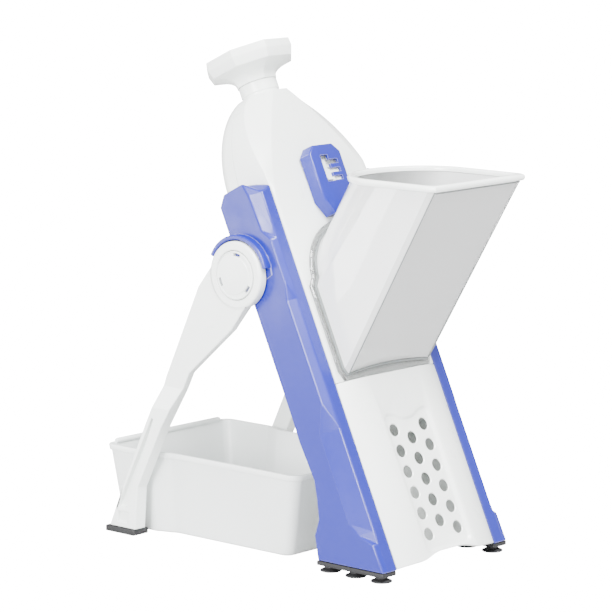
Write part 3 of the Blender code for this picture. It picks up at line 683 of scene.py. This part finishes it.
# --- side frames, legs and feet -----------------------------------------------------------
EASE_ANGLE = 20.0              # a copy's edges that turn by more than this are rounded
EASE_SHORTEST = 2.4            # and its shorter edges are left alone
FLAT_AREA = 25.0               # faces above this area, in square millimetres, stay flat
CAP_PROFILE = ((3.9, 63), (3.9, 72.4), (15.9, 72.4), (17.0, 73.5), (17.0, 74.4), (16.8, 75.0),
               (16.3, 75.2), (15.9, 74.7), (13.3, 74.7), (12.9, 75.3), (4, 75.7))
CAP_SLOTS = (97, 217, 337)     # middles of the cap's slots, in degrees
CUP_PROFILE = ((5.2, 1.0), (7.0, 0.0), (7.4, 0.3), (7.3, 1.0), (5.4, 1.9), (4.3, 2.7),
               (4.2, 5.5))
STRIP_IN, STRIP_OUT, STRIP_BACK, STRIP_LOW, STRIP_TOP = 52.8, 67.2, 61.0, 4.2, 7.4
CUP_PLACES = (8.0, 31.0, 54.0)
PAD_IN, PAD_OUT, PAD_FRONT, PAD_BACK, PAD_TOP = 63.5, 79.0, 227.0, 256.0, 4.6


class SLICER_OT_side_frames(bpy.types.Operator):
    """Faceted side frames with the hub guards"""
    bl_idname = "slicer.side_frames"
    bl_label = "Side Frames"

    def execute(self, context):
        width = context.scene.slicer_sizes.edge
        for side, _ in SIDES:
            eased_copy("frame_" + side, "side_frame_" + side, "blue_plastic", width)
        return {"FINISHED"}


class SLICER_OT_legs(bpy.types.Operator):
    """Folding legs and the caps on their hubs"""
    bl_idname = "slicer.legs"
    bl_label = "Legs"

    def execute(self, context):
        width = context.scene.slicer_sizes.edge
        hub = (0, HUB_Y, HUB_Z)
        for side, sign in SIDES:
            eased_copy("folding_leg_" + side, "leg_" + side, "white_plastic", width)
            cap = lathe([(radius, sign * x) for radius, x in CAP_PROFILE], hub, "x", 96)
            for middle in CAP_SLOTS:
                slot = (arc((HUB_Y, HUB_Z), 15.7, middle - 12, middle + 12, 12)
                        + arc((HUB_Y, HUB_Z), 13.5, middle + 12, middle - 12, 12))
                cap = cut(cap, side_slab(slot, *sorted((sign * 70, sign * 80))))
            finish("hub_button_" + side, cap, STAND_PLACE, "white_plastic", ["hub_cap_" + side])
        return {"FINISHED"}


class SLICER_OT_feet(bpy.types.Operator):
    """Rubber strips with suction cups, and the pads of the legs"""
    bl_idname = "slicer.feet"
    bl_label = "Feet"

    def execute(self, context):
        for side, sign in SIDES:
            low, high = sorted((sign * STRIP_IN, sign * STRIP_OUT))
            parts = [ease(block((low, 0.8, STRIP_LOW), (high, STRIP_BACK, STRIP_TOP)), 0.8, 40)]
            for y in CUP_PLACES:
                parts.append(lathe(CUP_PROFILE, ((low + high) / 2, y, 0), "z", 48))
            finish("rubber_strip_" + side, joined(parts), STAND_PLACE, "black_rubber",
                   ["foot_pad_" + side])
            low, high = sorted((sign * PAD_IN, sign * PAD_OUT))
            pad = ease(block((low, PAD_FRONT, 0.0), (high, PAD_BACK, PAD_TOP)), 1.0, 40)
            finish("leg_pad_" + side, pad, STAND_PLACE, "black_rubber", ["leg_foot_" + side])
        return {"FINISHED"}


# --- hopper -------------------------------------------------------------------------------
RIM_Z, RIM_HALF, RIM_FRONT, RIM_REAR, RIM_SIDE_END = 272.0, 49.0, -25.7, 72.0, 30.0
BASE_LOW, BASE_LOW_HALF = 138.0, 42.5
FRONT_POINTS = (8.0, 20.0, 32.0)        # points along the front wall, from its middle
CURVE_STEPS = 24
HOPPER_WALL, HOPPER_BACK, FRONT_ARCH = 2.0, -1.3, 2.6
LIP_PROFILE = (                         # inset from the rim's line, drop from its top
    (-1.7, 2.9), (-1.8, 1.9), (-1.6, 1.0), (-1.0, 0.3), (0.0, 0.0), (1.6, 0.0), (2.6, 0.3),
    (3.1, 0.9), (3.3, 1.8), (3.3, 3.3), (0.7, 3.3), (0.7, 4.5), (-0.6, 4.5), (-1.3, 3.9))


def to_stand(depth, s):
    """A place on the leaning body as the stand's (y, z)."""
    return (s * sin(LEAN) + depth * cos(LEAN),
            FRONT_FOOT.z / MM + s * cos(LEAN) - depth * sin(LEAN))


def hopper_base(shrink, forward, arch=FRONT_ARCH):
    """Outline of the hopper on the body, a distance in front of its back; the arch lifts the
    middle of its lower edge."""
    right = [(x, BASE_LOW + arch * (1 - (x / BASE_LOW_HALF) ** 2)) for x in FRONT_POINTS]
    right += [(BASE_LOW_HALF, BASE_LOW), (44.9, 143.0), (45.0, 175.0), (45.0, 203.0)]
    right += bezier((40, 209), (38, 229), (20, 243.5), (3, 244), CURVE_STEPS)
    return [(x, *to_stand(HOPPER_BACK - forward, s)) for x, s in inset(mirrored(right), shrink)]


def hopper_rim(shrink, z):
    """Level ring, point for point in step with the base."""
    half, front = RIM_HALF - shrink, RIM_FRONT + shrink
    reach = RIM_REAR - shrink - RIM_SIDE_END
    right = [(x, front) for x in FRONT_POINTS]
    right += [(half - 3, front), (half - 0.6, front + 4), (half, front + 25),
              (half, RIM_SIDE_END - 8)]
    turns = [radians(84 * k / CURVE_STEPS) for k in range(CURVE_STEPS + 1)]
    right += [(half * cos(a), RIM_SIDE_END + reach * sin(a)) for a in turns]
    return [(x, y, z) for x, y in mirrored(right)]


def thread(start, end, radius):
    """Thin straight round bar between two points."""
    along = Vector(end) - Vector(start)
    place = Matrix.Translation((Vector(start) + Vector(end)) / 2)
    bm = bmesh.new()
    bmesh.ops.create_cone(bm, cap_ends=True, segments=12, radius1=radius, radius2=radius,
                          depth=along.length,
                          matrix=place @ along.to_track_quat("Z", "Y").to_matrix().to_4x4())
    return bm


class SLICER_OT_hopper(bpy.types.Operator):
    """Clear feed hopper, its thin flange, painted shade lines along its edges and its white lip"""
    bl_idname = "slicer.hopper"
    bl_label = "Hopper"

    def execute(self, context):
        shell_nodes = ["hopper_shell"]
        flange = loft([hopper_base(-3.4, 0, 0), hopper_base(-3.4, 1.7, 0),
                       hopper_base(-3.0, 2, 0), hopper_base(0.9, 2), hopper_base(0.9, 0)],
                      closed=True)
        finish("hopper_flange", flange, STAND_PLACE, "clear_plastic", shell_nodes, 25,
               "clear_plastic_thin")
        outer, inner, top = 1.0, 1.0 + HOPPER_WALL, RIM_Z - 3.6
        shell = loft([hopper_base(outer, 0), hopper_base(outer, 4.5), hopper_rim(outer, top),
                      hopper_rim(inner, top), hopper_base(HOPPER_WALL, 4.5),
                      hopper_base(HOPPER_WALL, 0)], closed=True)
        finish("clear_hopper", shell, STAND_PLACE, "clear_plastic", shell_nodes, 25)
        # painted shade: a dark bead round the hopper's foot and thin dark bars at its front
        # corners and under its lip, where there is only shade and refraction
        seam = [loft([hopper_base(-0.7, 2.1), hopper_base(-0.7, 3.0), hopper_base(0.9, 3.4),
                      hopper_base(0.9, 2.1)], closed=True)]
        front, under_lip = RIM_FRONT + 0.8, RIM_Z - 5.3
        seam.append(thread((-44.6, front, under_lip), (44.6, front, under_lip), 0.7))
        for _, sign in SIDES:
            low_end = (sign * 42.2, *to_stand(HOPPER_BACK - 4.7, BASE_LOW + 0.8))
            seam.append(thread(low_end, (sign * 45.3, front, RIM_Z - 4), 0.45))
        finish("hopper_painted_shade_lines", joined(seam), STAND_PLACE, "clear_plastic", shell_nodes, 40,
               "clear_plastic_painted_shade")
        lip = loft([hopper_rim(shrink, RIM_Z - drop) for shrink, drop in LIP_PROFILE],
                   closed=True)
        finish("hopper_lip", lip, STAND_PLACE, "white_plastic", ["hopper_rim"], 40,
               "white_plastic_lip_painted_highlight")
        return {"FINISHED"}


# --- tray ---------------------------------------------------------------------------------
TRAY_CORNER = 9.0
TRAY_PROFILE = (                        # inset from the outline, height
    (5.0, 0.3), (3.2, 0.5), (2.0, 1.6), (1.5, 4.0), (1.4, 55.2), (1.1, 56.0), (0.2, 56.4),
    (0.0, 56.8), (0.0, 59.6), (0.4, 60.3), (1.0, 60.5), (2.0, 60.5), (2.7, 60.1), (3.0, 59.3),
    (3.2, 5.4), (4.2, 3.2), (6.2, 2.4))
GRIP_PROFILE = ((0, -55), (1.6, -54.6), (2.1, -53), (2.1, 53), (1.6, 54.6), (0, 55))
GRIP_PLACE = (0, 268.6, 60.9)


def tray_section(shrink, z):
    """Level outline of the tray: narrow between the frames, wider behind the legs."""
    rise = (z - 0.3) / 60.2
    narrow, wide = 54.0 + 4.2 * rise, 60.0 + 5.0 * rise
    front, rear, corner = 99.0 - 11.0 * rise, 262.0 + 9.0 * rise, TRAY_CORNER
    right = arc((narrow - corner, front + corner), corner, -90, 0, 14)
    right += [(narrow, 150.0), (narrow, 208.0), (narrow + 0.6, 210.5), (narrow + 1.8, 212.5),
              (wide - 1.8, 220.5), (wide - 0.6, 222.5), (wide, 225.0)]
    right += arc((wide - corner, rear - corner), corner, 0, 90, 14)
    return [(x, y, z) for x, y in inset(mirrored(right), shrink)]


class SLICER_OT_tray(bpy.types.Operator):
    """Catch tray with its rolled edge and the round grip along its rear rim"""
    bl_idname = "slicer.tray"
    bl_label = "Catch Tray"

    def execute(self, context):
        tray = loft([tray_section(shrink, z) for shrink, z in TRAY_PROFILE])
        grip = lathe(GRIP_PROFILE, GRIP_PLACE, "x", 24)
        finish("slice_tray", joined([tray, grip]), STAND_PLACE, "tray_plastic", ["catch_tray"])
        return {"FINISHED"}


# --- mechanism ----------------------------------------------------------------------------
class SLICER_OT_mechanism(bpy.types.Operator):
    """Blade carrier, blades, rods, springs, brackets, chute and cover screws"""
    bl_idname = "slicer.mechanism"
    bl_label = "Mechanism"

    def execute(self, context):
        dress(["blade_carrier", "discharge_chute", "rod_bracket_left", "rod_bracket_right"],
              "white_plastic")
        metal = ["slicing_blade", "julienne_comb"]
        for side, _ in SIDES:
            metal += ["guide_rod_" + side, "return_spring_" + side]
        dress(metal + ["cover_screw_%d" % number for number in range(1, 5)], "blade_steel")
        return {"FINISHED"}


# --- stage --------------------------------------------------------------------------------
VIEW_TARGET = (-0.07886, FRONT_FOOT.y + 0.060, 0.18626)
VIEW_BACK = (-0.7336, -0.6605, 0.1602)  # from the target towards the camera
LIT_CENTRE = (0, 0, 0.16)
LIGHTS = (                              # name, place, size, share of the key light's power
    ("key", (-0.5, -1.4, 2.5), 1.2, 1.0),
    ("side", (-2.3, -0.5, 0.8), 0.9, 0.5),
    ("glint", (-0.62, 0.62, 0.16), 0.26, 0.008),
)
FLOOR_TONES = ((0.50, 0.50, 0.50), (0.53, 0.53, 0.53))
FLOOR_SHARE = 0.8                       # of the backdrop's brightness


def soft_light(name, place, size, power):
    lamp = bpy.data.lights.new(name, "AREA")
    lamp.shape = "SQUARE"
    lamp.size = size
    lamp.energy = power
    made = bpy.data.objects.new(name, lamp)
    bpy.context.scene.collection.objects.link(made)
    made.location = place
    away = Vector(place) - Vector(LIT_CENTRE)
    made.rotation_euler = away.to_track_quat("Z", "Y").to_euler()


def seen_only(tree, shader, strength):
    """Brighten the floor where it is looked at, without lighting the object with it."""
    shader.inputs["Emission Color"].default_value = (1, 1, 1, 1)
    level = node(tree, "ShaderNodeMath", operation="MULTIPLY")
    level.inputs[1].default_value = strength
    tree.links.new(node(tree, "ShaderNodeLightPath").outputs["Is Camera Ray"], level.inputs[0])
    tree.links.new(level.outputs["Value"], shader.inputs["Emission Strength"])


def place_camera(context, chosen):
    back = Vector(VIEW_BACK).normalized()
    lens = bpy.data.cameras.new("view")
    lens.sensor_width = 36
    lens.lens = chosen.lens
    lens.clip_end = 20
    camera = bpy.data.objects.new("view", lens)
    context.scene.collection.objects.link(camera)
    camera.location = Vector(VIEW_TARGET) + back * chosen.distance
    camera.rotation_euler = back.to_track_quat("Z", "Y").to_euler()
    context.scene.camera = camera


def lay_floor(context, chosen):
    grid = bmesh.new()
    bmesh.ops.create_grid(grid, x_segments=1, y_segments=1, size=14.0)
    mesh = bpy.data.meshes.new("floor")
    grid.to_mesh(mesh)
    grid.free()
    ground = bpy.data.objects.new("floor", mesh)
    context.scene.collection.objects.link(ground)
    paper, tree, shader = shader_nodes("floor_paper")
    tone = noise(tree, object_coords(tree), scale=3.0)
    linked(tree, mixed(tree, ranged(tree, tone, 0, 1), *FLOOR_TONES), shader, "Base Color")
    set_sockets(shader, Roughness=0.9)
    seen_only(tree, shader, chosen.backdrop * FLOOR_SHARE)
    mesh.materials.append(paper)


def light_room(context, chosen):
    """White room, brighter where the camera looks straight at it."""
    world = bpy.data.worlds.new("room")
    world.use_nodes = True
    tree = world.node_tree
    sky = tree.nodes["Background"]
    sky.inputs["Color"].default_value = (1, 1, 1, 1)
    level = node(tree, "ShaderNodeMapRange")
    level.inputs["To Min"].default_value = chosen.sky
    level.inputs["To Max"].default_value = chosen.backdrop
    rays = node(tree, "ShaderNodeLightPath").outputs["Is Camera Ray"]
    tree.links.new(rays, level.inputs["Value"])
    tree.links.new(level.outputs["Result"], sky.inputs["Strength"])
    context.scene.world = world


class SLICER_OT_stage(bpy.types.Operator):
    """Camera, pale floor and soft light"""
    bl_idname = "slicer.stage"
    bl_label = "Stage"

    def execute(self, context):
        chosen = context.scene.slicer_stage
        place_camera(context, chosen)
        lay_floor(context, chosen)
        light_room(context, chosen)
        for name, place, size, share in LIGHTS:
            soft_light(name, place, size, chosen.key * share)
        return {"FINISHED"}


# --- panel and registration ---------------------------------------------------------------
STEPS = (SLICER_OT_stage, SLICER_OT_housing, SLICER_OT_plunger, SLICER_OT_panel,
         SLICER_OT_selector, SLICER_OT_side_frames, SLICER_OT_legs, SLICER_OT_feet,
         SLICER_OT_hopper, SLICER_OT_tray, SLICER_OT_mechanism)


class SLICER_PT_panel(bpy.types.Panel):
    """Lists the slicer's parts and settings"""
    bl_idname = "SLICER_PT_panel"
    bl_label = "Upright Press Slicer"
    bl_space_type = "VIEW_3D"
    bl_region_type = "UI"
    bl_category = "Slicer"

    def draw(self, context):
        for group in ("slicer_finishes", "slicer_sizes", "slicer_stage"):
            settings = getattr(context.scene, group)
            for name in settings.bl_rna.properties.keys():
                if name not in ("name", "rna_type"):
                    self.layout.prop(settings, name)
        for step in STEPS:
            self.layout.operator(step.bl_idname)


GROUPS = (("slicer_finishes", SlicerFinishes), ("slicer_sizes", SlicerSizes),
          ("slicer_stage", SlicerStage))


def register():
    for name, group in GROUPS:
        bpy.utils.register_class(group)
        setattr(bpy.types.Scene, name, bpy.props.PointerProperty(type=group))
    for step in STEPS + (SLICER_PT_panel,):
        bpy.utils.register_class(step)


def unregister():
    for step in reversed(STEPS + (SLICER_PT_panel,)):
        bpy.utils.unregister_class(step)
    for name, group in reversed(GROUPS):
        delattr(bpy.types.Scene, name)
        bpy.utils.unregister_class(group)


def main():
    register()
    bpy.ops.slicer.stage()
    bpy.ops.slicer.housing()
    bpy.ops.slicer.plunger()
    bpy.ops.slicer.panel()
    bpy.ops.slicer.selector()
    bpy.ops.slicer.side_frames()
    bpy.ops.slicer.legs()
    bpy.ops.slicer.feet()
    bpy.ops.slicer.hopper()
    bpy.ops.slicer.tray()
    bpy.ops.slicer.mechanism()


if __name__ == "__main__":
    main()
